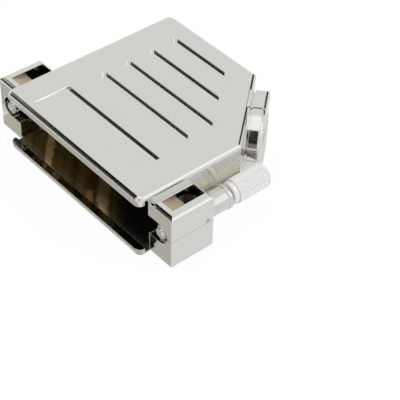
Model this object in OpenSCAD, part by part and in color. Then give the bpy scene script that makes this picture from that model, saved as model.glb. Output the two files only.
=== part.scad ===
// D-sub connector hood, 25 way, two cast halves with an angled cable exit.
// X right, Y to the rear, Z up, millimetres. The modules count Y from the
// front edge, where the connector enters, and place() moves the whole so
// that the origin is the centre of the footprint at the underside.

/* [Hood body] */
// Spacing of the two jackscrews, mm
jack_pitch = 47.04; // [25:0.01:64]
// Length from the front edge to the rear wall, mm
body_l = 41.9; // [38:0.1:50]
// Height over both halves, mm
body_h = 14.5; // [14.2:0.1:17]
// Clear height between the front lips, mm
mouth_h = 10.8; // [10.4:0.1:11.4]
// Height of the groove behind the lips, for the connector flange, mm
flange_h = 12.6; // [12.5:0.05:13]
// Width of that groove along Y, mm
flange_t = 1.1; // [0.9:0.1:1.4]
// Wall of roof, floor and sides, mm
wall = 1.5; // [1.2:0.1:2]
// Corner cut for the cable exit, measured along X, mm
cut_x = 14.7; // [12:0.1:16]
// Corner cut for the cable exit, measured along Y, mm
cut_y = 17.25; // [13:0.1:18.5]
// Rounding of the front corners in plan, mm
front_r = 1.3; // [1.2:0.1:3.2]
// Rounding of the rear left corner in plan, mm
rear_r = 1.7; // [1.5:0.1:4]
// Rounding of the top and bottom edges, mm
edge = 1; // [0.4:0.1:1.2]

/* [Ears] */
// Width of an ear, mm
ear_w = 6.96; // [6.6:0.02:8]
// Height of an ear, mm
ear_h = 11.95; // [11.4:0.05:12.4]
// Underside of an ear above the underside of the body, mm
ear_z0 = 0.85; // [0.6:0.05:1.3]
// Front face of the ears behind the front edge, mm
ear_y = 2.55; // [2.2:0.05:3]
// Length of an ear along Y, mm
ear_l = 10.15; // [9.9:0.05:12]
// Width of the window in an ear, mm
window_w = 3.2; // [2.4:0.1:3.6]
// Radius of the slot for the thread in the ear front, mm
slot_r = 2.15; // [1.75:0.05:2.2]
// Rounding of the upper edges of the ears, mm
ear_edge = 1; // [0.3:0.1:1.4]
// Rounding of the lower edges of the ears, mm
ear_foot = 0.3; // [0.2:0.1:1]

/* [Jackscrews] */
// Thread radius of the jackscrew, 4-40, mm
thread_r = 1.42; // [1.3:0.01:1.5]
// Radius of the plain shaft behind the thread, mm
shaft_r = 1.15; // [1:0.01:1.25]
// Radius of the sliding sleeve, mm
sleeve_r = 2.4; // [2.1:0.05:2.5]
// Radius of the ring at the rear of the sleeve, mm
ring_r = 2.55; // [2.5:0.05:3]
// Radius of the thumb knob, mm
knob_r = 2.5; // [2.3:0.05:3.2]
// Gap between the rings or knobs and the sides of the body, mm
side_gap = 0.22; // [0.2:0.01:0.8]
// Length of the thumb knob, mm
knob_l = 9.4; // [7:0.1:12]
// Number of grip grooves in a knob
grips = 32; // [16:1:36]
// Running clearance on the radius, mm
run = 0.04; // [0.02:0.01:0.08]
// Forward travel of the jackscrew, mm
travel = 4.6; // [3:0.1:4.7]

/* [Cable exit] */
// Outer radius of the collar's round half, mm
collar_r = 7; // [6.4:0.05:7.1]
// Length of the collar out from the slanted wall, mm
collar_l = 3.45; // [2.5:0.05:6]
// Rounding of the collar's outer rim, mm
rim_edge = 1; // [0.4:0.1:1.3]
// Radius of the cable bore, mm
exit_r = 5.2; // [4:0.1:5.4]

/* [Cable clamp] */
// Spacing of the clamp screws, mm
clamp_pitch = 17; // [16:0.1:17.6]
// Sheet thickness of the clamp, mm
clamp_t = 0.8; // [0.6:0.1:1]
// Inner radius of the clamp arch, mm
arch_r = 4.6; // [3.8:0.1:4.8]
// Width of the clamp over both straps, mm
clamp_w = 7.6; // [6.6:0.1:8.4]
// Distance of the clamp inside the slanted wall, mm
clamp_in = 7.2; // [6.8:0.1:8]

/* [Screws] */
// Thread radius of the four tapping screws, mm
tap_r = 1.45; // [1.3:0.01:1.5]
// Length of the countersunk shell screws, mm
long_l = 12; // [10:0.1:12.2]
// Length of the clamp screws under the head, mm
short_l = 4.6; // [3.5:0.1:4.8]
// Head radius of the clamp screws, mm
pan_r = 2.5; // [2.2:0.1:2.6]
// Head radius of the countersunk shell screws, mm
cs_r = 2.75; // [2.4:0.05:2.9]

/* [Top pattern] */
// Depth of the four grooves, mm
groove_d = 0.48; // [0.3:0.02:0.7]
// Width of the four grooves, mm
groove_w = 1.2; // [0.8:0.1:1.6]
// Width of the label recess, mm
label_w = 28; // [20:0.1:32]
// Depth of the label recess at its rear end, mm
label_d = 0.5; // [0.2:0.05:0.7]

/* [Hidden] */
$fn = 48;
zc = body_h / 2;
jx = jack_pitch / 2;
hw = jx - max(ring_r, knob_r) - side_gap;
body_w = 2 * hw;
lip_z = (body_h - mouth_h) / 2;
flange_z = (body_h - flange_h) / 2;
ear_z1 = ear_z0 + ear_h;
ear_y1 = ear_y + ear_l;
// ear cavity
cav_x = sleeve_r + 0.3;
cav_z = 4.3;
cav_y0 = ear_y + 2.6;
cav_y1 = ear_y1 - 0.8;
win_y0 = ear_y + 1.8;
// connector body behind the flange
pocket_x = jx - cav_x - 0.5;
pocket_y = ear_y + 5;
win_split = win_y0 + 3.5;
ledge_0 = 0.1;
ledge_1 = 0.9;
// jackscrew stations along Y
tip_y = ear_y - 0.1;
head_t = 0.8;
head_h = 8;
head_y0 = cav_y1 - 0.3 - head_t;
ring_y0 = ear_y1 + travel + 0.3;
ring_t = 1.1;
knob_y0 = ring_y0 + ring_t + 0.3;
grip_d = 0.13;
// exit frame: centre of the slanted wall and its outward direction
exit_a = atan2(cut_x, cut_y);
exit_p = [hw - cut_x / 2, body_l - cut_y / 2, zc];
collar_z = zc - 0.1;
collar_block = 0.66;
// clamp seats and the centre of a clamp screw
lug_z = zc - 1.55;
lug_r = pan_r + 0.3;
arch_z = lug_z + 0.5;
pan_h = 1.2;
pan_dome = 0.7;
pan_top_r = pan_r - 0.8;
clamp_band = 1.8;
function clamp_xy(s) = [exit_p[0] - clamp_in * cos(exit_a) - s * clamp_pitch / 2 * sin(exit_a),
                        exit_p[1] - clamp_in * sin(exit_a) + s * clamp_pitch / 2 * cos(exit_a)];
// shell screws and locating posts
post_r = 2.9;
cs_in = 0.15;
point_l = 2.2;
post_x = hw - wall - post_r - 0.4;
post_y = clamp_xy(-1)[1] - post_r - pan_r - 0.9;
screw_at = [[post_x, post_y], [-hw + wall + post_r + 1.2, body_l - wall - post_r - 1.9]];
peg_at = [[-post_x, post_y]];
peg_r = 1.2;
// grooves: first and last stations, left end, and distance to the slanted wall
groove_y0 = 18.05;
groove_y1 = body_l - 5.45;
groove_x0 = -13.3;
groove_x1 = 12.8;
groove_gap = 8.3;
broken = 0.12;
// step round the outside of the parting line
seam = 0.12;
label_y0 = 2.3;
label_y1 = 10.4;
// ribs on the floor: stations along X and Y
rib_x = 6;
rib_y0 = 15;
rib_y1 = 27;
silver = [0.80, 0.79, 0.75];
// rounded corners in plan: centre, turn and radius
corners = [[-hw + front_r, front_r, 180, front_r], [hw - front_r, front_r, 270, front_r],
           [-hw + rear_r, body_l - rear_r, 90, rear_r]];
e = 0.01;

// rectangle from a to b with corners of radius r
module rrect(a, b, r) {
  translate([a[0] + r, a[1]]) square([b[0] - a[0] - 2 * r, b[1] - a[1]]);
  translate([a[0], a[1] + r]) square([b[0] - a[0], b[1] - a[1] - 2 * r]);
  for (x = [a[0] + r, b[0] - r], y = [a[1] + r, b[1] - r]) translate([x, y]) circle(r, $fn = 32);
}

// extrusions along X and along Y of a profile drawn over (Y, Z) or (X, Z)
module along_x(x0, x1) { translate([x0, 0, 0]) rotate([90, 0, 90]) linear_extrude(x1 - x0) children(); }
module along_y(y0, y1) { translate([0, y1, 0]) rotate([90, 0, 0]) linear_extrude(y1 - y0) children(); }

// plan outline of the body, pulled in by d
module plan(d = 0) {
  fr = max(front_r, d + 0.2);
  rr = max(rear_r, d + 0.2);
  difference() {
    union() {
      translate([-hw + d, fr]) square([body_w - 2 * d, body_l - fr - rr]);
      translate([-hw + rr, fr]) square([body_w - rr - d, body_l - fr - d]);
      translate([-hw + fr, d]) square([body_w - 2 * fr, fr]);
      for (s = [-1, 1]) translate([s * (hw - fr), fr]) circle(fr - d, $fn = 48);
      translate([-hw + rr, body_l - rr]) circle(rr - d, $fn = 48);
    }
    translate([exit_p[0], exit_p[1]]) rotate(exit_a) translate([-d, -30]) square([40, 60]);
  }
}

// solid body with rounded top and bottom edges, which run on round the corners in plan
module body_block() {
  difference() {
    intersection() {
      linear_extrude(body_h) plan(0);
      along_y(-1, body_l + 1) rrect([-hw, 0], [hw, body_h], edge);
      along_x(-hw - 1, hw + 1) rrect([0, 0], [body_l, body_h], edge);
      translate(exit_p - [0, 0, zc]) rotate([0, 0, exit_a])
        along_y(-40, 40) rrect([-60, 0], [0, body_h], edge);
    }
    for (c = corners) at_corner(c) translate([0, 0, -1]) cube([c[3] + 1, c[3] + 1, body_h + 2]);
  }
  for (c = corners) at_corner(c) rotate_extrude(angle = 90, $fn = 64) intersection() {
    rrect([-c[3], 0], [c[3], body_h], edge);
    square([c[3], body_h]);
  }
}

// children placed at the centre of a rounded corner, turned so that it lies towards X and Y
module at_corner(c) { translate([c[0], c[1], 0]) rotate([0, 0, c[2]]) children(); }

module box3(a, b) { translate(a) cube([b[0] - a[0], b[1] - a[1], b[2] - a[2]]); }

// a cylinder along Y from y0 to y1
module rod(x, z, y0, y1, r1, r2) {
  translate([x, y0, z]) rotate([-90, 0, 0]) cylinder(h = y1 - y0, r1 = r1, r2 = r2);
}

// rectangle from a to b, its upper corners rounder than its lower ones
module ear_profile(a, b) {
  w = b[0] - a[0];
  for (r = [ear_foot, ear_edge]) intersection() {
    rrect(a, b, r);
    translate([a[0], r == ear_foot ? a[1] : zc - e]) square([w, r == ear_foot ? zc - a[1] : b[1] - zc + e]);
  }
}

module ear_block(s) {
  x0 = min(s * (jx - ear_w / 2 - 1.4), s * (jx + ear_w / 2));
  x1 = max(s * (jx - ear_w / 2 - 1.4), s * (jx + ear_w / 2));
  intersection() {
    along_y(ear_y, ear_y1) ear_profile([x0, ear_z0], [x1, ear_z1]);
    along_x(x0, x1) ear_profile([ear_y, ear_z0], [ear_y1, ear_z1]);
    translate([0, 0, ear_z0]) linear_extrude(ear_h) rrect([x0, ear_y], [x1, ear_y1], 0.3);
  }
}

// everything taken out of one ear
module ear_cuts(s) {
  // slot for the thread, open to the mouth
  rod(s * jx, zc, ear_y - 1, cav_y0 + e, slot_r, slot_r);
  box3([min(s * jx, s * (pocket_x - 2)), ear_y - 1, zc - slot_r],
       [max(s * jx, s * (pocket_x - 2)), cav_y0 + e, zc + slot_r]);
  // cavity in which the sleeve head slides
  box3([s * jx - cav_x, cav_y0, zc - cav_z], [s * jx + cav_x, cav_y1, zc + cav_z]);
  // windows above and below, each with a ramp that leads down into it from the front
  for (m = [0, 1]) translate([0, 0, zc]) mirror([0, 0, m]) {
    h = m == 0 ? ear_z1 - zc : zc - ear_z0;
    box3([s * jx - window_w / 2, win_split, cav_z - e], [s * jx + window_w / 2, cav_y1, h + 1]);
    along_x(s * jx - window_w / 2, s * jx + window_w / 2)
      polygon([[win_y0, h + 1], [win_y0, h - ledge_0], [win_split, h - ledge_1],
               [win_split + e, h - ledge_1], [win_split + e, h + 1]]);
  }
  // bore for the sleeve in the rear wall
  rod(s * jx, zc, cav_y1 - e, ear_y1 + 1, sleeve_r + run, sleeve_r + run);
  // round mark on the outer face
  translate([s * (jx + ear_w / 2 - 0.25), ear_y1 - 1.6, ear_z0 + 6.9])
    rotate([0, s * 90, 0]) cylinder(h = 1, r = 0.45);
}

// collar outline over the slanted wall, round towards the front and square
// towards the rear, pulled in by d
module collar_plan(d = 0) {
  circle(collar_r - d, $fn = 64);
  block_plan(d);
}
// square half of the collar, its two corners towards the rear rounded
module block_plan(d = 0) {
  rrect([collar_block, d - collar_z], [collar_r - 0.1 - d, collar_z - d], 1.2);
  translate([collar_block, d - collar_z]) square([2, 2 * (collar_z - d)]);
}
module at_exit() { translate(exit_p) rotate([0, 0, exit_a]) rotate([90, 0, 90]) children(); }
module collar() {
  at_exit() difference() {
    union() {
      // round half, with its rim rounded
      translate([0, 0, -0.6]) cylinder(h = 1, r = collar_r, $fn = 64);
      rotate_extrude($fn = 64) {
        square([collar_r, collar_l - rim_edge]);
        square([collar_r - rim_edge, collar_l]);
        translate([collar_r - rim_edge, collar_l - rim_edge]) circle(rim_edge, $fn = 32);
      }
      // square half, rounded over its width and over its height
      intersection() {
        translate([0, 0, -0.6]) linear_extrude(collar_l + 0.6) block_plan();
        rotate([90, 0, 0]) translate([0, 0, -20]) linear_extrude(40)
          rrect([-20, -10], [collar_r - 0.1, collar_l], rim_edge);
        rotate([0, 90, 0]) translate([0, 0, -20]) linear_extrude(40)
          rrect([-collar_l, -collar_z], [10, collar_z], rim_edge);
      }
    }
    // thin groove round the foot
    translate([0, 0, 0.2]) linear_extrude(0.45) difference() {
      square(40, center = true);
      collar_plan(0.35);
    }
  }
}

// main hollow behind the connector
module hollow() {
  translate([0, 0, wall]) linear_extrude(body_h - 2 * wall)
    intersection() {
      plan(wall);
      translate([-hw, ear_y + 2.5]) square([body_w, body_l]);
    }
}

// both halves as one, before the split
module hood_solid() {
  difference() {
    union() {
      difference() {
        union() {
          body_block();
          for (s = [-1, 1]) ear_block(s);
          collar();
        }
        hollow();
        // room for the connector body, and for its flange in the groove behind the lips
        box3([-pocket_x, ear_y - e, lip_z], [pocket_x, pocket_y, body_h - lip_z]);
        box3([-jx - ear_w, -1, lip_z], [jx + ear_w, ear_y, body_h - lip_z]);
        box3([-jx - ear_w, ear_y - flange_t, flange_z], [jx + ear_w, ear_y, body_h - flange_z]);
      }
      posts();
    }
    for (s = [-1, 1]) ear_cuts(s);
    at_exit() translate([0, 0, -wall - 2]) cylinder(h = collar_l + wall + 3, r = exit_r);
    // rounded mouth of the collar
    at_exit() translate([0, 0, collar_l - 0.5]) cylinder(h = 0.6, r1 = exit_r, r2 = exit_r + 0.6);
    // grooves and label recess
    for (i = [0:3]) top_groove(groove_y0 + i * (groove_y1 - groove_y0) / 3);
    along_x(-label_w / 2, label_w / 2)
      polygon([[label_y0, body_h], [label_y1, body_h - label_d],
               [label_y1, body_h + 1], [label_y0, body_h + 1]]);
    // shell screws
    for (p = screw_at) translate([p[0], p[1], 0]) {
      translate([0, 0, -1]) cylinder(h = zc + 1, r = tap_r + 0.1);
      translate([0, 0, zc - e]) cylinder(h = long_l + 0.4 - zc, r = tap_r + 0.02);
      translate([0, 0, -e]) cylinder(h = cs_in + 0.05, r = cs_r + 0.05);
      translate([0, 0, cs_in]) cylinder(h = cs_r - tap_r, r1 = cs_r + 0.03, r2 = tap_r + 0.03);
    }
    // clamp screws
    for (s = [-1, 1]) clamp_at(s) translate([0, 0, lug_z - short_l - 0.2]) cylinder(h = 6, r = tap_r + 0.02);
  }
}

// one groove with round ends and broken edges, its right end a set distance from the slanted wall
module top_groove(y) {
  r = groove_w / 2;
  x0 = groove_x0 + r;
  wall_x = hw - (y - body_l + cut_y) * cut_x / cut_y;
  x1 = min(groove_x1, wall_x - groove_gap) - r;
  z0 = body_h - groove_d;
  for (x = [x0, x1]) translate([x, y, z0]) {
    cylinder(h = groove_d, r = r);
    translate([0, 0, groove_d - broken]) cylinder(h = 2 * broken, r1 = r, r2 = r + 2 * broken);
  }
  along_x(x0, x1) polygon([[y - r, z0], [y + r, z0], [y + r, body_h - broken],
    [y + r + 2 * broken, body_h + broken], [y - r - 2 * broken, body_h + broken], [y - r, body_h - broken]]);
}

// children placed at a clamp screw
module clamp_at(s) { translate(clamp_xy(s)) rotate([0, 0, exit_a]) children(); }

module posts() {
  post_h = body_h - 2 * wall + 0.4;
  for (p = screw_at) translate([p[0], p[1], wall - 0.2]) cylinder(h = post_h, r = post_r);
  for (p = peg_at) translate([p[0], p[1], wall - 0.2]) cylinder(h = post_h, r = post_r - 0.6);
  // clamp seats stand on the floor
  for (s = [-1, 1]) clamp_at(s) translate([0, 0, wall - 0.2]) cylinder(h = lug_z - wall + 0.2, r = lug_r);
  // stiffening ribs on the floor behind the connector
  for (x = [-rib_x, rib_x]) box3([x - 0.5, rib_y0, wall - 0.2], [x + 0.5, rib_y1, wall + 1]);
}

module top_shell() {
  color(silver) {
    intersection() {
      hood_solid();
      box3([-60, -20, zc], [60, 80, body_h + 5]);
    }
    for (p = peg_at) translate([p[0], p[1], zc - 2]) {
      translate([0, 0, 0.4]) cylinder(h = 1.7, r = peg_r);
      cylinder(h = 0.4, r1 = peg_r - 0.3, r2 = peg_r);
    }
  }
}

// everything outside a line just inside the outline of body, ears and collar
module seam_ring() {
  translate([0, 0, zc - seam]) linear_extrude(1) difference() {
    square(160, center = true);
    plan(seam);
    for (m = [0, 1]) mirror([m, 0]) translate([jx - ear_w / 2 - 1, ear_y + seam])
      square([ear_w + 1 - seam, ear_l - 2 * seam]);
    translate([exit_p[0], exit_p[1]]) rotate(exit_a)
      rrect([-8, seam - collar_r], [collar_l - seam, collar_r - 0.1 - seam], rim_edge - seam);
  }
}

module bottom_shell() {
  color(silver) difference() {
    intersection() {
      hood_solid();
      box3([-60, -20, -5], [60, 80, zc]);
    }
    seam_ring();
    for (p = peg_at) translate([p[0], p[1], zc - 2.3]) cylinder(h = 3, r = peg_r + run);
  }
}

module sleeve(s) {
  color(silver) difference() {
    union() {
      intersection() {
        box3([s * jx - sleeve_r, head_y0, zc - head_h / 2],
             [s * jx + sleeve_r, head_y0 + head_t, zc + head_h / 2]);
        rod(s * jx, zc, head_y0 - 1, head_y0 + 2, head_h / 2, head_h / 2);
      }
      rod(s * jx, zc, head_y0 + head_t - e, ring_y0 + e, sleeve_r, sleeve_r);
      rod(s * jx, zc, ring_y0, ring_y0 + 0.1, ring_r - 0.1, ring_r);
      rod(s * jx, zc, ring_y0 + 0.1, ring_y0 + ring_t - 0.3, ring_r, ring_r);
      rod(s * jx, zc, ring_y0 + ring_t - 0.3, ring_y0 + ring_t, ring_r, ring_r - 0.3);
    }
    rod(s * jx, zc, head_y0 - 1, ring_y0 + ring_t + 1, shaft_r + run, shaft_r + run);
  }
}

module jackscrew(s) {
  color(silver) {
    rod(s * jx, zc, tip_y, tip_y + 0.4, thread_r - 0.4, thread_r);
    rod(s * jx, zc, tip_y + 0.4, head_y0 - 0.3, thread_r, thread_r);
    rod(s * jx, zc, head_y0 - 0.3 - e, knob_y0 + knob_l - 2, shaft_r, shaft_r);
  }
}

module knob(s) {
  color([0.86, 0.86, 0.84]) difference() {
    union() {
      rod(s * jx, zc, knob_y0, knob_y0 + 0.3, knob_r - 0.5, knob_r - 0.2);
      rod(s * jx, zc, knob_y0 + 0.3, knob_y0 + 1.3 + e, knob_r - 0.2, knob_r - 0.2);
      rod(s * jx, zc, knob_y0 + 1.3, knob_y0 + knob_l - 0.7, knob_r, knob_r);
      rod(s * jx, zc, knob_y0 + knob_l - 0.7 - e, knob_y0 + knob_l, knob_r, knob_r - 0.6);
    }
    rod(s * jx, zc, knob_y0 - 1, knob_y0 + knob_l - 2, shaft_r, shaft_r);
    // straight grip grooves
    for (i = [0:grips - 1]) translate([s * jx, 0, zc]) rotate([0, i * 360 / grips, 0])
      translate([0, knob_y0 + 1.5, knob_r]) rotate([0, 45, 0])
        translate([-grip_d, 0, -grip_d]) cube([2 * grip_d, knob_l, 2 * grip_d]);
    // driver slot in the end
    box3([s * jx - 4, knob_y0 + knob_l - 1, zc - 0.4], [s * jx + 4, knob_y0 + knob_l + 1, zc + 0.4]);
  }
}

module cable_clamp() {
  strap = (clamp_w - clamp_band) / 2;
  color([0.80, 0.77, 0.68])
  translate([exit_p[0], exit_p[1], 0]) rotate([0, 0, exit_a]) translate([-clamp_in, 0, 0])
  difference() {
    union() {
      // lugs, joined to the straps
      for (s = [-1, 1]) {
        translate([0, s * clamp_pitch / 2, lug_z]) cylinder(h = clamp_t, r = lug_r - 0.1);
        translate([0, 0, lug_z]) linear_extrude(clamp_t)
          polygon([[-clamp_w / 2, s * arch_r], [clamp_w / 2, s * arch_r],
                   [clamp_w / 2, s * (arch_r + clamp_t + 0.3)], [lug_r - 0.6, s * (clamp_pitch / 2 - 1)],
                   [-lug_r + 0.6, s * (clamp_pitch / 2 - 1)], [-clamp_w / 2, s * (arch_r + clamp_t + 0.3)]]);
      }
      // the arch over the cable
      intersection() {
        translate([-clamp_w / 2, 0, arch_z]) rotate([0, 90, 0]) cylinder(h = clamp_w, r = arch_r + clamp_t);
        box3([-10, -10, lug_z], [10, 10, 20]);
      }
    }
    translate([-clamp_w / 2 - 1, 0, arch_z]) rotate([0, 90, 0]) cylinder(h = clamp_w + 2, r = arch_r);
    for (s = [-1, 1]) translate([0, s * clamp_pitch / 2, 0]) cylinder(h = 20, r = tap_r + 0.15);
    // slot between the two straps
    box3([-clamp_band / 2, -arch_r - 0.2, lug_z + 0.02], [clamp_band / 2, arch_r + 0.2, body_h]);
    // one cut in each strap
    for (u = [-1, 1]) translate([u * (clamp_band + strap) / 2, 0, 0])
      box3([-0.35, -3, arch_z + 1], [0.35, 1.6, body_h]);
  }
}

// cross recess, point down
module cross_recess(r, d) {
  for (a = [0, 90]) rotate([0, 0, a]) translate([-r, -0.3, -d]) cube([2 * r, 0.6, d + 1]);
}

module clamp_screw(s) {
  z0 = lug_z + clamp_t;
  color([0.72, 0.75, 0.78]) clamp_at(s) difference() {
    union() {
      translate([0, 0, z0]) cylinder(h = pan_h, r = pan_r);
      translate([0, 0, z0 + pan_h - e]) cylinder(h = pan_dome, r1 = pan_r, r2 = pan_top_r);
      translate([0, 0, z0 - short_l + 0.8]) cylinder(h = short_l - 0.8 + e, r = tap_r);
      translate([0, 0, z0 - short_l]) cylinder(h = 0.8 + e, r1 = tap_r - 0.6, r2 = tap_r);
    }
    translate([0, 0, z0 + pan_h + pan_dome]) cross_recess(pan_top_r - 0.4, 1.1);
  }
}

module shell_screw(k) {
  color([0.72, 0.75, 0.78]) translate([screw_at[k][0], screw_at[k][1], cs_in]) difference() {
    union() {
      cylinder(h = cs_r - tap_r, r1 = cs_r, r2 = tap_r);
      translate([0, 0, cs_r - tap_r - e]) cylinder(h = long_l - point_l - cs_r + tap_r + 2 * e, r = tap_r);
      translate([0, 0, long_l - point_l]) cylinder(h = point_l, r1 = tap_r, r2 = 0.2);
    }
    rotate([180, 0, 0]) cross_recess(1.5, 1.1);
  }
}

module sleeve_left() { sleeve(-1); }
module sleeve_right() { sleeve(1); }
module jackscrew_left() { jackscrew(-1); }
module jackscrew_right() { jackscrew(1); }
module knob_left() { knob(-1); }
module knob_right() { knob(1); }
module clamp_screw_1() { clamp_screw(-1); }
module clamp_screw_2() { clamp_screw(1); }
module shell_screw_1() { shell_screw(0); }
module shell_screw_2() { shell_screw(1); }

module place() { translate([0, -body_l / 2, 0]) children(); }

place() top_shell();
place() bottom_shell();
place() sleeve_left();
place() sleeve_right();
place() jackscrew_left();
place() jackscrew_right();
place() knob_left();
place() knob_right();
place() cable_clamp();
place() clamp_screw_1();
place() clamp_screw_2();
place() shell_screw_1();
place() shell_screw_2();
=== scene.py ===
# %% [markdown]
# # A d-sub hood with an angled cable exit
# The real thing is a pair of die-cast zinc shells, nickel plated to a mirror, that closes round
# the back of a 25-way connector. Two long jackscrews slide and turn in its ears, and a cable
# leaves through a collar on the slanted corner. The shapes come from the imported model, so this
# script starts by loading that model as a fixed frame. Everything after it is finish, fine detail
# and light.

# %% Load the frame
import math

import bmesh
import bpy
from mathutils import Matrix, Vector


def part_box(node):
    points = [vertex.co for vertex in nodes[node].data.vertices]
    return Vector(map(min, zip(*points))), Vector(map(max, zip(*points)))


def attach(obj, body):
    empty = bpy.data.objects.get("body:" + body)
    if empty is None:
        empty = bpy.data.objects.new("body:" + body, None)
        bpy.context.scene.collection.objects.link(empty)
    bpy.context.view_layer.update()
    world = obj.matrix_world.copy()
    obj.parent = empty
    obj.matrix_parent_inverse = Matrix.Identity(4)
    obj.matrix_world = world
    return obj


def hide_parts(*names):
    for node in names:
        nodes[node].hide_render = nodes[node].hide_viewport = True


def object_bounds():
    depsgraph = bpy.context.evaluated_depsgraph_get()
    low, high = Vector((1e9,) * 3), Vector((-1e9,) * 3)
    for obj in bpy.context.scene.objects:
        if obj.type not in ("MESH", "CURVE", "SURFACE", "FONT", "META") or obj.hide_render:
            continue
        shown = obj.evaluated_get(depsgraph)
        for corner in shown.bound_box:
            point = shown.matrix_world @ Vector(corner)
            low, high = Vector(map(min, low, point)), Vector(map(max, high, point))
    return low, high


MM = 0.001
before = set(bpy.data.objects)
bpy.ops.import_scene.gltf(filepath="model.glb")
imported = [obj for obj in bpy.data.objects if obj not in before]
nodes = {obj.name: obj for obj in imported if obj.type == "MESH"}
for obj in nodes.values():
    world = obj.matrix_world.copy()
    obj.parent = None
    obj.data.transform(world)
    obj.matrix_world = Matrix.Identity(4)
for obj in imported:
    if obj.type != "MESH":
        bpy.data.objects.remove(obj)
cad_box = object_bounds()
scene = bpy.context.scene

# %% [markdown]
# ## The camera
# A long lens, held above the right front corner, flattens the perspective and keeps the long edges
# nearly parallel, as is usual for small parts. Azimuth and elevation say where the camera stands,
# LOOK_AT is the point in the middle of the frame, and a slight roll comes from the hand. Written
# this way, the framing can be read and changed as numbers.

# %% Camera
AZIMUTH = 48.05
ELEVATION = 42.37
ROLL = 1.89
DISTANCE = 243.3 * MM
LOOK_AT = Vector((21.24, -6.72, 7.0)) * MM
SENSOR = 36.0
LENS = 117.4


def direction(azimuth, elevation):
    """Unit vector from the object towards a place at this azimuth and elevation, in degrees."""
    a, e = math.radians(azimuth), math.radians(elevation)
    return Vector((math.sin(a) * math.cos(e), -math.cos(a) * math.cos(e), math.sin(e)))


def make_camera():
    """The camera at its place, rolled about its own line of sight."""
    data = bpy.data.cameras.new("camera")
    data.lens, data.sensor_width = LENS, SENSOR
    data.clip_start, data.clip_end = 0.01, 20.0
    camera = bpy.data.objects.new("camera", data)
    scene.collection.objects.link(camera)
    back = direction(AZIMUTH, ELEVATION)
    roll = Matrix.Rotation(math.radians(ROLL), 3, "Z").to_quaternion()
    camera.rotation_mode = "QUATERNION"
    camera.rotation_quaternion = back.to_track_quat("Z", "Y") @ roll
    camera.location = LOOK_AT + back * DISTANCE
    scene.camera = camera
    return camera


camera = make_camera()
print("camera at", [round(v, 3) for v in camera.location])

# %% [markdown]
# ## Shader maths written as plain expressions
# A mirror finish is mostly numbers: how rough, how wavy, how warm. Wiring Math nodes by hand hides
# those numbers, so a small class wraps a socket and lets Python's own operators add the nodes. The
# reflected forms let a plain number stand first, as in 1 - mask.


# %% Sockets as values
class Value:
    """One output socket of a node tree, with arithmetic."""

    def __init__(self, paint, socket):
        self.paint, self.socket = paint, socket

    def _math(self, operation, *values):
        return self.paint.node("ShaderNodeMath", {"operation": operation}, dict(enumerate(values)))

    def __add__(self, other):
        return self._math("ADD", self, other)

    def __radd__(self, other):
        return self._math("ADD", other, self)

    def __sub__(self, other):
        return self._math("SUBTRACT", self, other)

    def __rsub__(self, other):
        return self._math("SUBTRACT", other, self)

    def __mul__(self, other):
        return self._math("MULTIPLY", self, other)

    def __rmul__(self, other):
        return self._math("MULTIPLY", other, self)

    def size(self):
        """The value without its sign."""
        return self._math("ABSOLUTE", self)

    def above(self, edge, soft):
        """0 below the edge and 1 above it, over a soft step."""
        settings = {"interpolation_type": "SMOOTHSTEP"}
        inputs = {"Value": self, "From Min": edge - soft, "From Max": edge + soft}
        return self.paint.node("ShaderNodeMapRange", settings, inputs)

    def clamp(self):
        """The value held between 0 and 1."""
        return self.paint.node("ShaderNodeClamp", {}, {"Value": self})


print("values add, subtract and multiply")

# %% [markdown]
# Every other node comes from one method, which takes the node's type, its settings and the values
# or links of its sockets. The methods below it are the few things that a plated finish is made of:
# coordinates in millimetres, cloudy noise, a mix of two colours, softened edges and a low bump.


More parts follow.
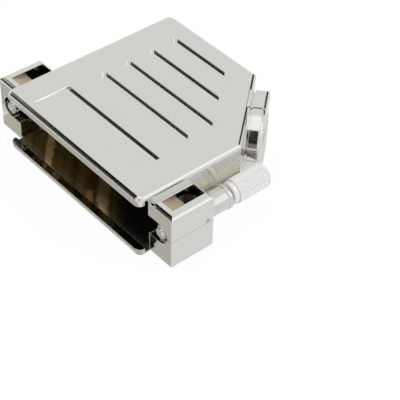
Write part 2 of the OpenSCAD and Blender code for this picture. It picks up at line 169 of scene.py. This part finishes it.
# %% Materials and the world as paint
class Paint:
    """A node tree of a new material, or of the world, and the nodes that make it."""

    def __init__(self, name, owner=None):
        self.owner = owner or bpy.data.materials.new(name)
        self.owner.use_nodes = True
        self.tree = self.owner.node_tree
        self.tree.nodes.clear()

    def node(self, kind, settings=None, inputs=None, output=0):
        """Adds a node and returns one of its outputs."""
        made = self.tree.nodes.new(kind)
        for key, value in (settings or {}).items():
            setattr(made, key, value)
        for key, value in (inputs or {}).items():
            if isinstance(value, Value):
                self.tree.links.new(value.socket, made.inputs[key])
            elif value is not None:
                made.inputs[key].default_value = value
        return Value(self, made.outputs[output])

    def place(self):
        """Object coordinates in millimetres."""
        here = self.node("ShaderNodeTexCoord", output=3)
        return self.node("ShaderNodeMapping", {}, {"Vector": here, "Scale": [1 / MM] * 3})

    def axes(self):
        """The three coordinates of the piece, in millimetres."""
        parts = self.node("ShaderNodeSeparateXYZ", {}, {"Vector": self.place()})
        return [Value(self, out) for out in parts.socket.node.outputs]

    def noise(self, size, detail=3.0):
        """Cloudy noise whose blobs are about size millimetres wide."""
        inputs = {"Vector": self.place(), "Scale": 1.0 / size, "Detail": detail}
        return self.node("ShaderNodeTexNoise", {}, inputs)

    def mix(self, amount, a, b):
        """Colour a where amount is 0 and colour b where it is 1."""
        colours = {"Factor": amount, 6: as_colour(a), 7: as_colour(b)}
        return self.node("ShaderNodeMix", {"data_type": "RGBA"}, colours, output=2)

    def soft_edges(self, radius):
        """A normal that turns over every sharp edge as if rounded by radius millimetres."""
        return self.node("ShaderNodeBevel", {"samples": 6}, {"Radius": radius * MM})

    def bump(self, height, distance, normal=None):
        """A normal that stands distance millimetres proud where height is 1."""
        inputs = {"Height": height, "Distance": distance * MM, "Normal": normal}
        return self.node("ShaderNodeBump", {}, inputs)

    def surface(self, **inputs):
        """The finished surface: names are socket names with underscores for spaces."""
        named = {}
        for key, value in inputs.items():
            named[key.replace("_", " ")] = as_colour(value) if "Color" in key else value
        self.node_out(self.node("ShaderNodeBsdfPrincipled", {}, named))
        return self.owner

    def node_out(self, shader, kind="ShaderNodeOutputMaterial"):
        """Sends a shader to the output of the tree."""
        out = self.tree.nodes.new(kind)
        self.tree.links.new(shader.socket, out.inputs["Surface"])


def as_colour(value):
    """A colour of three numbers with an alpha of 1; anything else as it is."""
    return (*value, 1.0) if isinstance(value, tuple) and len(value) == 3 else value


print("shader helpers ready")

# %% [markdown]
# ## Studio
# Bright metal shows its surroundings more than itself, so the light is designed as what the hood
# sees: a white floor and sky, bright screens, and dark cloths where a flag is put up to draw the
# edges. The white comes from the colour of the floor and of the world as camera and reflection
# rays see them, so the hood itself is not flooded with light. The floor lies a hair below the
# underside, because two faces in one plane would flicker.

# %% World and floor
WHITE_ROOM = (1.0, 1.0, 1.0)
ROOM_SEEN, ROOM_LIGHT = 1.0, 0.65
FLOOR_GREY = (0.9, 0.9, 0.9)
FLOOR_WHITE = 0.95
FLOOR_HALF = 3.0
FLOOR_DROP = 0.02


def seen_directly(paint):
    """1 for camera, glossy and transmission rays, 0 for light that scatters."""
    outs = paint.node("ShaderNodeLightPath").socket.node.outputs
    names = ("Is Camera Ray", "Is Glossy Ray", "Is Transmission Ray")
    rays = [Value(paint, outs[name]) for name in names]
    return (rays[0] + rays[1] + rays[2]).clamp()


def make_world():
    """A white room, plain in sight and gentler as a source of light."""
    world = bpy.data.worlds.new("studio")
    scene.world = world
    paint = Paint("studio", world)
    strength = seen_directly(paint) * (ROOM_SEEN - ROOM_LIGHT) + ROOM_LIGHT
    inputs = {"Color": as_colour(WHITE_ROOM), "Strength": strength}
    paint.node_out(paint.node("ShaderNodeBackground", {}, inputs), "ShaderNodeOutputWorld")


def floor_paint():
    """White in sight, with enough of a real surface left to hold the shadow."""
    paint = Paint("floor_white")
    lit = paint.node("ShaderNodeBsdfDiffuse", {}, {"Color": as_colour(FLOOR_GREY)})
    glow = {"Color": as_colour(WHITE_ROOM), "Strength": 1.0}
    white = paint.node("ShaderNodeEmission", {}, glow)
    amount = seen_directly(paint) * FLOOR_WHITE
    paint.node_out(paint.node("ShaderNodeMixShader", {}, {0: amount, 1: lit, 2: white}))
    return paint.owner


def make_floor():
    """The table that the hood stands on."""
    bm = bmesh.new()
    bmesh.ops.create_grid(bm, x_segments=1, y_segments=1, size=FLOOR_HALF)
    mesh = bpy.data.meshes.new("floor")
    bm.to_mesh(mesh)
    bm.free()
    floor = bpy.data.objects.new("floor", mesh)
    scene.collection.objects.link(floor)
    mesh.materials.append(floor_paint())
    floor.location.z = -FLOOR_DROP * MM


make_world()
make_floor()
scene.view_settings.view_transform = "Standard"
print("white room made")

# %% [markdown]
# Two large round lamps give the dull parts, such as the knurled knobs, their shading, and throw
# the soft shadow on the table. Reflections do not see them: the metal mirrors only the room.

# %% Lamps
LAMP_DISTANCE = 0.9


def make_lamp(name, azimuth, elevation, size, watts):
    """A round lamp that faces the hood."""
    data = bpy.data.lights.new(name, "AREA")
    data.shape, data.size, data.energy = "DISK", size, watts
    lamp = bpy.data.objects.new(name, data)
    scene.collection.objects.link(lamp)
    back = direction(azimuth, elevation)
    lamp.location = back * LAMP_DISTANCE
    lamp.rotation_mode = "QUATERNION"
    lamp.rotation_quaternion = back.to_track_quat("Z", "Y")
    lamp.visible_glossy = False


make_lamp("side_lamp", 128, 38, 0.35, 3.0)
make_lamp("top_lamp", -60, 78, 0.5, 3.0)
print("two lamps placed")

# %% [markdown]
# Dark cloths hung round the table draw the dark lines along the polished edges, and bright screens
# draw the white ones. Each is a patch of a large sphere between two azimuths and two elevations,
# so it can be read off as the part of the room that an edge mirrors. Only reflections see them:
# they throw no shadow and hide no lamp.

# %% Cloths and screens round the table
ROOM_RADIUS = 0.7
BLACK_CLOTH = (0.012, 0.011, 0.009)
WHITE_SCREEN = (1.0, 1.0, 0.98)


def in_reflections_only(bm, name, shade, strength=1.0):
    """Turns a bmesh into a glowing sheet that nothing but a reflection sees."""
    mesh = bpy.data.meshes.new(name)
    bm.to_mesh(mesh)
    bm.free()
    sheet = bpy.data.objects.new(name, mesh)
    scene.collection.objects.link(sheet)
    paint = Paint(name)
    glow = {"Color": as_colour(shade), "Strength": strength}
    paint.node_out(paint.node("ShaderNodeEmission", {}, glow))
    mesh.materials.append(paint.owner)
    sheet.visible_camera = sheet.visible_diffuse = sheet.visible_shadow = False
    print(name, "has", len(mesh.polygons), "faces")


def make_cloth(name, azimuths, elevations, shade, strength=1.0):
    """The part of a large sphere between two azimuths and two elevations, in degrees."""
    bm = bmesh.new()
    bmesh.ops.create_uvsphere(bm, u_segments=144, v_segments=72, radius=ROOM_RADIUS)
    outside = []
    for face in bm.faces:
        x, y, z = face.calc_center_median() / ROOM_RADIUS
        turned = (math.degrees(math.atan2(x, -y)) - azimuths[0]) % 360.0
        elevation = math.degrees(math.asin(max(-1.0, min(1.0, z))))
        across = turned <= azimuths[1] - azimuths[0]
        if not (across and elevations[0] < elevation < elevations[1]):
            outside.append(face)
    bmesh.ops.delete(bm, geom=outside, context="FACES")
    in_reflections_only(bm, name, shade, strength)


make_cloth("high_cloth", (-101, -64), (46, 62), BLACK_CLOTH)
make_cloth("front_cloth", (-64, -38), (35, 60), BLACK_CLOTH)
make_cloth("front_haze", (-54, -22), (6, 35), (0.11, 0.105, 0.085))
make_cloth("rear_cloth", (172, 202), (10, 32), (0.06, 0.055, 0.05))
make_cloth("camera_cloth", (32, 46), (20, 62), BLACK_CLOTH)
make_cloth("camera_haze", (35, 44), (4, 19), (0.25, 0.23, 0.19))
make_cloth("roof_screen", (0, 360), (66, 90), WHITE_SCREEN, 1.35)
make_cloth("side_screen", (108, 150), (14, 56), WHITE_SCREEN, 1.4)

# %% [markdown]
# Faces that look to the front mirror the table just before them. Grey mats laid there darken the
# ears and the lips as a real bench does, with paler ones to the left, where the far ear catches
# them, and a dark strip close before the lower lip. They too are seen by reflections alone.

# %% Mats on the table
FRONT = -21.5
FAR_FRONT = -420
GREY = (0.62, 0.61, 0.54)


def make_mat(name, low, high, shade, height=0.05):
    """A flat sheet just above the table, between two corners in millimetres."""
    bm = bmesh.new()
    corners = [(low[0], low[1]), (high[0], low[1]), (high[0], high[1]), (low[0], high[1])]
    bm.faces.new([bm.verts.new((x * MM, y * MM, height * MM)) for x, y in corners])
    in_reflections_only(bm, name, shade)


make_mat("grey_mat", (-30, FAR_FRONT), (27, FRONT), GREY)
make_mat("pale_mat", (-33, FAR_FRONT), (-30, FRONT), (0.78, 0.77, 0.73))
make_mat("corner_mat", (-46, FAR_FRONT), (-33, FRONT), (0.60, 0.59, 0.54))
make_mat("left_mat", (-30, FRONT), (-21, -10), GREY)
make_mat("right_mat", (19.3, FRONT), (27, -10), GREY)
make_mat("lip_mat", (-21.5, -22.6), (18.6, -22.0), (0.14, 0.13, 0.10), height=0.08)

# %% [markdown]
# ## Jackscrew threads
# The tip of each jackscrew carries a 4-40 thread: sixty-degree ridges 0.635 mm apart. A comb of
# ridges is drawn along the axis once and swept through one full turn while it moves on by one
# ridge. Each ridge then meets the next, and merging the seam closes the thread. Two planes trim
# its ends.

# %% One thread
THREAD_PITCH = 25.4 / 40 * MM
THREAD_STEPS = 28
ROOT_DEPTH = 0.61 * THREAD_PITCH


def comb(bm, start, ridges, crest, root):
    """One row of ridges along Y, drawn as joined points."""
    profile = ((0.0, root), (0.14, root), (0.44, crest), (0.56, crest), (0.86, root))
    ring = []
    for i in range(ridges):
        y = start + i * THREAD_PITCH
        for along, radius in profile:
            ring.append(bm.verts.new((0.0, y + along * THREAD_PITCH, radius)))
    ring.append(bm.verts.new((0.0, start + ridges * THREAD_PITCH, root)))
    for pair in zip(ring, ring[1:]):
        bm.edges.new(pair)


def trim(bm, y, side):
    """Cuts everything beyond y off and closes the cut."""
    geom = bm.verts[:] + bm.edges[:] + bm.faces[:]
    plane = {"plane_co": (0, y, 0), "plane_no": (0, side, 0)}
    cut = bmesh.ops.bisect_plane(bm, geom=geom, dist=1e-7, clear_outer=True, **plane)
    edges = [part for part in cut["geom_cut"] if isinstance(part, bmesh.types.BMEdge)]
    bmesh.ops.holes_fill(bm, edges=edges, sides=0)


def thread_body(bm, start, end, radius):
    """The threaded length between two places along Y."""
    ridges = math.ceil((end - start) / THREAD_PITCH) + 2
    comb(bm, start - THREAD_PITCH, ridges, radius, radius - ROOT_DEPTH)
    geom = bm.verts[:] + bm.edges[:]
    turn = {"cent": (0, 0, 0), "axis": (0, 1, 0), "angle": math.tau, "steps": THREAD_STEPS}
    step = (0.0, -THREAD_PITCH / THREAD_STEPS, 0.0)
    bmesh.ops.spin(bm, geom=geom, dvec=step, use_merge=False, **turn)
    bmesh.ops.remove_doubles(bm, verts=bm.verts, dist=1e-6)
    trim(bm, start, -1.0)
    trim(bm, end, 1.0)


print("thread pitch", round(THREAD_PITCH / MM, 3), "mm")

# %% [markdown]
# A jackscrew is that thread with a small cone before it, which leads it into the mating screw
# lock, and a plain shaft behind it, on which the knob is pressed. The three run into one another
# inside the metal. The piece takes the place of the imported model's plain cylinder and rides on its
# body.

# %% One jackscrew
THREAD_LENGTH = 7.9
CONE_LENGTH = 0.35
THREAD_FROM = 0.3
CONE_TIP, CONE_FOOT = 0.6, 0.39
SHAFT_RADIUS = 1.15
SHAFT_OVERLAP = 0.05
SHARP_ANGLE = 35


def rod_box(name):
    """Axis point, start and end along Y, and largest radius of a node that lies along Y."""
    low, high = (Vector(v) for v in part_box(name))
    return (low + high) / 2, low.y, high.y, (high.z - low.z) / 2


def add_rod(bm, start, end, r_start, r_end, segments=48):
    """A closed rod along Y from start to end."""
    middle = Matrix.Translation((0, (start + end) / 2, 0))
    turn = middle @ Matrix.Rotation(-math.pi / 2, 4, "X")
    ends = {"radius1": r_start, "radius2": r_end, "depth": end - start}
    bmesh.ops.create_cone(bm, cap_ends=True, segments=segments, matrix=turn, **ends)


def make_jackscrew(name, material, body):
    """Thread, lead-in cone and shaft on the axis of a node of the frame."""
    centre, start, end, radius = rod_box(name)
    neck = start + THREAD_LENGTH * MM
    bm = bmesh.new()
    thread_body(bm, start + THREAD_FROM * MM, neck, radius)
    cone = radius - CONE_TIP * MM, radius - CONE_FOOT * MM
    add_rod(bm, start, start + CONE_LENGTH * MM, *cone)
    add_rod(bm, neck - SHAFT_OVERLAP * MM, end, SHAFT_RADIUS * MM, SHAFT_RADIUS * MM)
    bmesh.ops.translate(bm, vec=(centre.x, 0, centre.z), verts=bm.verts)
    bmesh.ops.recalc_face_normals(bm, faces=bm.faces)
    return place_mesh(bm, "threaded_" + name, material, body, name)


def place_mesh(bm, name, material, body, *stands_for):
    """Turns a bmesh into a piece that rides on a body and stands for CAD nodes."""
    mesh = bpy.data.meshes.new(name)
    bm.to_mesh(mesh)
    bm.free()
    mesh.materials.append(material)
    for face in mesh.polygons:
        face.use_smooth = True
    mesh.set_sharp_from_angle(angle=math.radians(SHARP_ANGLE))
    piece = bpy.data.objects.new(name, mesh)
    scene.collection.objects.link(piece)
    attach(piece, body)
    if stands_for:
        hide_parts(*stands_for)
    print(name, "has", len(mesh.polygons), "faces")
    return piece


print("a jackscrew is", [round(v / MM, 2) for v in rod_box("jackscrew_left")[1:]], "mm")

# %% [markdown]
# ## Finishes
# Nickel plate is a warm mirror. What makes it look like a casting and not chrome is a slow
# waviness of the polished zinc below it, and a haze that varies from place to place. The plate is
# thin and brown inside the shells and in the ears' cavities, where the plating bath hardly
# reaches; in the cavities its colour is painted near black as painted shade. A mask is a number
# from 0 to 1 over the surface, built here from the coordinates of the piece, so it says where a
# finish changes without any seam having to be drawn on the mesh.

# %% Where the hollows are
shell_low, shell_high = ([v / MM for v in corner] for corner in cad_box)
FRONT_Y, REAR_Y, TOP_Z = shell_low[1], shell_high[1], shell_high[2]
MID_Z = (shell_low[2] + TOP_Z) / 2
EAR_X = sum(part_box("jackscrew_right")[i][0] for i in (0, 1)) / 2 / MM
BODY_SIDE = 20.75  # outer side of the body
LIP_DEPTH = 2.3  # how far back the bright lips go
WALL = 0.9
SLANT = (0.76, 0.65, 17.6)  # slanted wall: its direction, and how far out its inner face lies
HOLLOW_HALF_HEIGHT = 6.45
CAVITY_HALF = (2.78, 5.0)  # across and up from the jackscrew
CAVITY_REACH = (4.1, 12.3)  # from the front


def hollow_mask(paint):
    """1 on the faces of the main hollow."""
    x, y, z = paint.axes()
    across, height = x.size(), (z - MID_Z).size()
    inside = 1 - across.above(BODY_SIDE - WALL, 0.2)
    inside = inside * (1 - height.above(HOLLOW_HALF_HEIGHT, 0.1))
    inside = inside * y.above(FRONT_Y + LIP_DEPTH, 0.3)
    slanted = (x * SLANT[0] + y * SLANT[1]).above(SLANT[2], 0.3)
    return inside * (1 - slanted) * (1 - y.above(REAR_Y - WALL, 0.2))


def cavity_mask(paint):
    """1 inside the cavities of the two ears."""
    x, y, z = paint.axes()
    across, height = x.size(), (z - MID_Z).size()
    cavity = 1 - (across - EAR_X).size().above(CAVITY_HALF[0], 0.05)
    cavity = cavity * (1 - height.above(CAVITY_HALF[1], 0.3))
    cavity = cavity * y.above(FRONT_Y + CAVITY_REACH[0], 0.2)
    return cavity * (1 - y.above(FRONT_Y + CAVITY_REACH[1], 0.1))


print("ears", round(EAR_X, 2), "mm to each side, parting line at", round(MID_Z, 2), "mm")

# %% [markdown]
# Three small places differ from the rest: the left wall of the label recess and the left ends of
# the grooves, which are painted white as painted highlights, and the dull ramps that lead down
# into the windows of the ears. Each gets its own mask, and a band helps to draw streaks.

# %% Small places of their own
LABEL_LEFT = (-14.02, 0.13)  # place and half width
LABEL_LENGTH = 8.1
GROOVE_LEFT = (-13.0, 0.34)  # place and half width
GROOVES_FROM = -5.0
GROOVE_WHITE = 0.65
RAMP_HALF = (1.62, 4.6)  # half width, and least height from the parting line
RAMP_REACH = (4.3, 7.9)  # from the front


def band(value, centre, half):
    """1 within half of the centre, fading out over as much again."""
    return 1 - (value - centre).size().above(half * 1.5, half * 0.5)


def label_edge(paint):
    """1 along the left wall of the label recess."""
    x, y, z = paint.axes()
    low_y = FRONT_Y + LIP_DEPTH
    line = 1 - (x - LABEL_LEFT[0]).size().above(LABEL_LEFT[1], 0.03)
    line = line * y.above(low_y, 0.1) * (1 - y.above(low_y + LABEL_LENGTH, 0.05))
    return line * z.above(TOP_Z - 0.2, 0.03)


def groove_ends(paint):
    """Up to GROOVE_WHITE on the left ends of the four grooves, below the level of the top."""
    x, y, z = paint.axes()
    below = z.above(TOP_Z - 1.0, 0.05) * (1 - z.above(TOP_Z - 0.04, 0.02))
    ends = (1 - (x - GROOVE_LEFT[0]).size().above(GROOVE_LEFT[1], 0.10)) * below
    return ends * y.above(GROOVES_FROM, 0.5) * GROOVE_WHITE


def ramp_mask(paint):
    """1 on the ramps that lead down into the windows of the ears."""
    x, y, z = paint.axes()
    across = 1 - (x.size() - EAR_X).size().above(RAMP_HALF[0], 0.02)
    along = y.above(FRONT_Y + RAMP_REACH[0], 0.05)
    along = along * (1 - y.above(FRONT_Y + RAMP_REACH[1], 0.05))
    return across * along * (z - MID_Z).size().above(RAMP_HALF[1], 0.05)


print("masks ready")

# %% [markdown]
# The shells' paint starts with two close shades of nickel in soft clouds. In the hollow the plate
# is brown. Streaks of gold break it up; these are painted warm highlights, and the second is
# brighter towards the front. One orange spot is a painted reflection, and towards the right end
# the hollow is painted darker as shade. The streaks follow a slanting line across the floor, bent
# a little by noise, so that they look poured and not ruled. The lower part of the right flank is
# painted a lighter, warmer and less metallic colour, as a painted reflection.

# %% Nickel plate
PLATE = (0.635, 0.628, 0.60)
PLATE_COOL = (0.62, 0.62, 0.60)
# Streaks of gold in the hollow: painted warm highlights.
GOLD_HIGHLIGHT = (0.85, 0.66, 0.36)
# An orange spot in the hollow: a painted reflection.
ORANGE_REFLECTION = (0.75, 0.36, 0.10)
# White on the label wall and the groove ends: painted highlights.
WHITE_HIGHLIGHT = (0.95, 0.95, 0.93)
BARE = (0.30, 0.21, 0.08)
BARE_DARK = (0.14, 0.095, 0.03)
# The right end of the hollow is painted near black: painted shade.
HOLLOW_SHADE = (0.03, 0.026, 0.016)
RAMP = (0.46, 0.385, 0.30)
# The ears' cavities are painted near black: painted shade over brown plate.
CAVITY_SHADE = (0.07, 0.05, 0.022)
# The lower right flank: a painted warm reflection, lighter and less metallic.
FLANK_REFLECTION = (0.84, 0.79, 0.68)
HAZE = 0.10
SHELL_EDGE = 0.13
ACROSS = (0.67, 0.75)  # direction that the streaks are counted along
HIGHLIGHT_STREAKS = ((-21.3, 0.5), (-9.6, 0.7))  # place and half width of each
NEAR = (-17.2, 1.4)  # the second streak is bright in front of this, over a soft step
REFLECTION_SPOT = ((-12.3, 0.45), (14.2, 0.9))
SHADE_FROM = (-7.0, 2.5)


def bare_colour(paint):
    """Thin brown plate with painted gold highlights, one painted orange reflection and painted
    shade.
    """
    x, y, z = paint.axes()
    across = x * ACROSS[0] + y * ACROSS[1]
    along = x * ACROSS[1] - y * ACROSS[0]
    wander = across + paint.noise(1.2) * 1.6 - 0.8
    near = 1 - y.above(*NEAR)
    # Gold streaks are painted highlights, the second brighter towards the front.
    painted_gold = band(wander, *HIGHLIGHT_STREAKS[0]) + band(wander, *HIGHLIGHT_STREAKS[1]) * (0.35 + near * 0.65)
    # The orange spot is a painted reflection.
    painted_orange = band(across, *REFLECTION_SPOT[0]) * band(along, *REFLECTION_SPOT[1])
    inputs = {"W": across * 0.3, "Scale": 1.0, "Detail": 4.0}
    patchy = paint.node("ShaderNodeTexNoise", {"noise_dimensions": "1D"}, inputs)
    bare = paint.mix(painted_gold, paint.mix(patchy.above(0.5, 0.15), BARE, BARE_DARK), GOLD_HIGHLIGHT)
    bare = paint.mix(painted_orange * 0.8, bare, ORANGE_REFLECTION)
    # Painted shade darkens the hollow towards its right end.
    return paint.mix(across.above(*SHADE_FROM), bare, HOLLOW_SHADE)


def shell_paint():
    """Bright plate outside, brown plate in the hollows."""
    paint = Paint("shell_plate")
    x, y, z = paint.axes()
    outside = paint.mix(paint.noise(7.0, detail=2.0).above(0.5, 0.25), PLATE, PLATE_COOL)
    hollow, cavity, ramp = hollow_mask(paint), cavity_mask(paint), ramp_mask(paint)
    colour = paint.mix(hollow, outside, bare_colour(paint))
    # The cavities' colour is painted shade.
    colour = paint.mix(ramp, paint.mix(cavity, colour, CAVITY_SHADE), RAMP)
    # Painted highlights on the label wall and the groove ends.
    white = (label_edge(paint) + groove_ends(paint)).clamp()
    colour = paint.mix(white, colour, WHITE_HIGHLIGHT)
    # A painted warm reflection on the lower part of the right flank.
    flank = x.above(BODY_SIDE - 0.08, 0.03) * (1 - x.above(BODY_SIDE + 0.1, 0.05))
    painted_flank = flank * (1 - z.above(11.0, 2.5))
    colour = paint.mix(painted_flank, colour, FLANK_REFLECTION)
    metal = 1 - hollow * 0.3 - painted_flank * 0.6
    inner = (hollow + cavity).clamp()
    haze = HAZE + (paint.noise(2.5) - 0.5) * 0.06 + inner * 0.20 + ramp * 0.25 + flank * 0.05
    waves = paint.bump(paint.noise(4.0, detail=1.0), 0.012, paint.soft_edges(SHELL_EDGE))
    return paint.surface(Base_Color=colour, Metallic=metal, Roughness=haze, Normal=waves)


shell_finish = shell_paint()
print("shell paint has", len(shell_finish.node_tree.nodes), "nodes")

# %% [markdown]
# The small parts have plainer finishes: two close shades, a haze and a hint of waviness. The knobs
# are matt from their knurling, the tapping screws bluish from zinc and the clamp yellowish. A
# sleeve's head sits in the dark cavity of its ear, so the sleeve is painted brown there as painted
# shade, up to where it comes out.

# %% Plate of the small parts
SLEEVE = ((0.60, 0.595, 0.58), (0.57, 0.57, 0.56), 0.14)
KNOB = ((0.77, 0.765, 0.76), (0.74, 0.74, 0.735), 0.58)
ZINC = ((0.55, 0.58, 0.60), (0.50, 0.54, 0.58), 0.25)
CLAMP = ((0.66, 0.62, 0.53), (0.64, 0.62, 0.55), 0.25)
# Painted brown shade on a sleeve inside the cavity of its ear.
SLEEVE_SHADE = (0.34, 0.26, 0.15)
SLEEVE_OUT = 12.5
SMALL_EDGE = 0.08


def plate_paint(name, warm, cool, haze, metal=1.0, shaded_to=None):
    """A plain plated finish, with painted brown shade in front of the place given for it, if any."""
    paint = Paint(name)
    colour = paint.mix(paint.noise(1.5, detail=2.0).above(0.5, 0.2), warm, cool)
    if shaded_to is not None:
        colour = paint.mix(paint.axes()[1].above(shaded_to, 0.1), SLEEVE_SHADE, colour)
    rough = haze + (paint.noise(0.9) - 0.5) * 0.10
    waves = paint.bump(paint.noise(0.7, detail=2.0), 0.004, paint.soft_edges(SMALL_EDGE))
    return paint.surface(Base_Color=colour, Metallic=metal, Roughness=rough, Normal=waves)


screw_finish = plate_paint("sleeve_plate", *SLEEVE)
sleeve_finish = plate_paint("sleeve_and_head_plate", *SLEEVE, shaded_to=FRONT_Y + SLEEVE_OUT)
knob_finish = plate_paint("knob_plate", *KNOB, metal=0.6)
zinc_finish = plate_paint("screw_zinc", *ZINC)
clamp_finish = plate_paint("clamp_plate", *CLAMP)
print("five finishes for the small parts")

# %% [markdown]
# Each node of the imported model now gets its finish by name. The two plain jackscrews are dressed
# too, and then the threaded ones take their place.

# %% Dress every node
FINISHES = (
    ("_shell", shell_finish),
    ("sleeve_", sleeve_finish),
    ("knob_", knob_finish),
    ("_screw_", zinc_finish),
    ("cable_clamp", clamp_finish),
    ("jackscrew_", screw_finish),
)


def dress(node):
    """Gives a node of the frame the finish that its name asks for."""
    finish = next(finish for part, finish in FINISHES if part in node)
    mesh = nodes[node].data
    mesh.materials.clear()
    mesh.materials.append(finish)


for name in nodes:
    dress(name)
for side in ("left", "right"):
    make_jackscrew("jackscrew_" + side, screw_finish, side + "_screw")
print("finishes on", len(nodes), "nodes")
